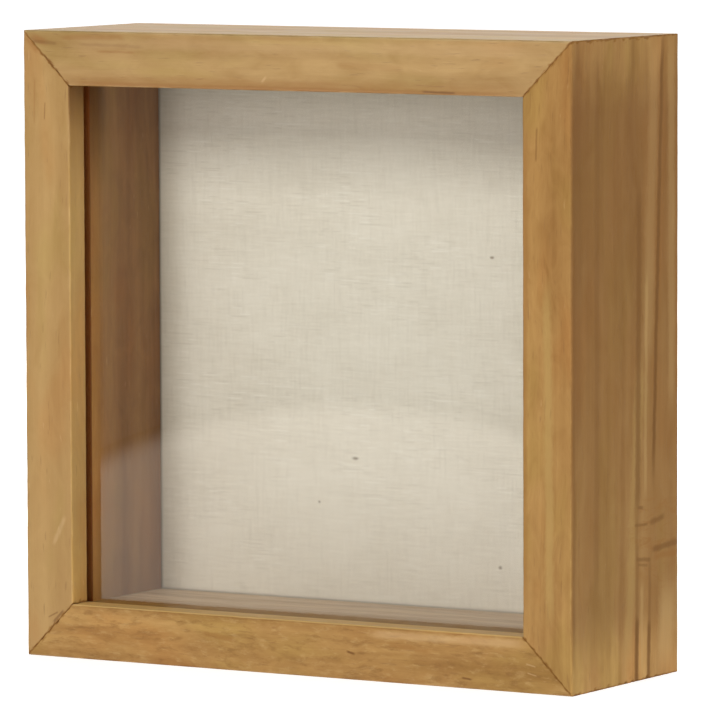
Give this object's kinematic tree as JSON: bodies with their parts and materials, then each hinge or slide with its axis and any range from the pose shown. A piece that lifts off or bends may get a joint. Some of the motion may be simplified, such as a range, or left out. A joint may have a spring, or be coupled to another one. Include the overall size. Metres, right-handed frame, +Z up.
{
  "type": "shadow-box frame",
  "caption": "Deep square mitred wooden shadow-box frame with glass, a linen-covered display board, a removable hardboard back on turn buttons, and a sawtooth hanger.",
  "frame": {"origin": "bottom centre of the frame's bounding box, half way between the front face and the bumpers' faces", "axes": "+X to the viewer's right, +Y from the front of the frame towards the wall, +Z up"},
  "size_m": [0.231, 0.0816, 0.231],
  "materials": {
    "frame_wood": "waxed, satin, honey brown",
    "spacer_wood": "waxed, satin",
    "glass": "clear float glass",
    "linen": "unbleached plain weave",
    "board": "medium-density fibreboard",
    "hardboard": "smooth tempered hardboard",
    "zinc_steel": "zinc plated",
    "brass_plated_steel": "brass plated",
    "blued_steel": "blued spring steel",
    "staple_wire": "galvanised wire",
    "rubber": "soft, matt"
  },
  "bodies": {
    "frame": {"top_rail": "frame_wood", "bottom_rail": "frame_wood", "left_stile": "frame_wood", "right_stile": "frame_wood", "corner_v_nails": "blued_steel", "glass_pane": "glass", "spacer_top": "spacer_wood", "spacer_bottom": "spacer_wood", "spacer_left": "spacer_wood", "spacer_right": "spacer_wood", "turn_button_screws": "zinc_steel", "sawtooth_hanger": "zinc_steel", "hanger_nails": "brass_plated_steel", "wall_bumper_left": "rubber", "wall_bumper_right": "rubber"},
    "back_panel": {"display_board": "board", "linen_cover": "linen", "linen_staples": "staple_wire", "backing_board": "hardboard"},
    "turn_button_top_left": {"turn_button_top_left": "zinc_steel"},
    "turn_button_top_right": {"turn_button_top_right": "zinc_steel"},
    "turn_button_right_upper": {"turn_button_right_upper": "zinc_steel"},
    "turn_button_right_lower": {"turn_button_right_lower": "zinc_steel"},
    "turn_button_bottom_right": {"turn_button_bottom_right": "zinc_steel"},
    "turn_button_bottom_left": {"turn_button_bottom_left": "zinc_steel"},
    "turn_button_left_lower": {"turn_button_left_lower": "zinc_steel"},
    "turn_button_left_upper": {"turn_button_left_upper": "zinc_steel"}
  },
  "joints": [
    {"name": "back_panel_slide", "type": "slide", "parent": "frame", "child": "back_panel", "axis": [0, 1, 0], "range_m": [0, 0.06]},
    {"name": "turn_button_top_left_swing", "type": "hinge", "parent": "frame", "child": "turn_button_top_left", "pos_m": [-0.065, 0.03795, 0.224], "axis": [0, 1, 0], "continuous": true},
    {"name": "turn_button_top_right_swing", "type": "hinge", "parent": "frame", "child": "turn_button_top_right", "pos_m": [0.065, 0.03795, 0.224], "axis": [0, 1, 0], "continuous": true},
    {"name": "turn_button_right_upper_swing", "type": "hinge", "parent": "frame", "child": "turn_button_right_upper", "pos_m": [0.1085, 0.03795, 0.1805], "axis": [0, 1, 0], "continuous": true},
    {"name": "turn_button_right_lower_swing", "type": "hinge", "parent": "frame", "child": "turn_button_right_lower", "pos_m": [0.1085, 0.03795, 0.0505], "axis": [0, 1, 0], "continuous": true},
    {"name": "turn_button_bottom_right_swing", "type": "hinge", "parent": "frame", "child": "turn_button_bottom_right", "pos_m": [0.065, 0.03795, 0.007], "axis": [0, 1, 0], "continuous": true},
    {"name": "turn_button_bottom_left_swing", "type": "hinge", "parent": "frame", "child": "turn_button_bottom_left", "pos_m": [-0.065, 0.03795, 0.007], "axis": [0, 1, 0], "continuous": true},
    {"name": "turn_button_left_lower_swing", "type": "hinge", "parent": "frame", "child": "turn_button_left_lower", "pos_m": [-0.1085, 0.03795, 0.0505], "axis": [0, 1, 0], "continuous": true},
    {"name": "turn_button_left_upper_swing", "type": "hinge", "parent": "frame", "child": "turn_button_left_upper", "pos_m": [-0.1085, 0.03795, 0.1805], "axis": [0, 1, 0], "continuous": true}
  ]
}
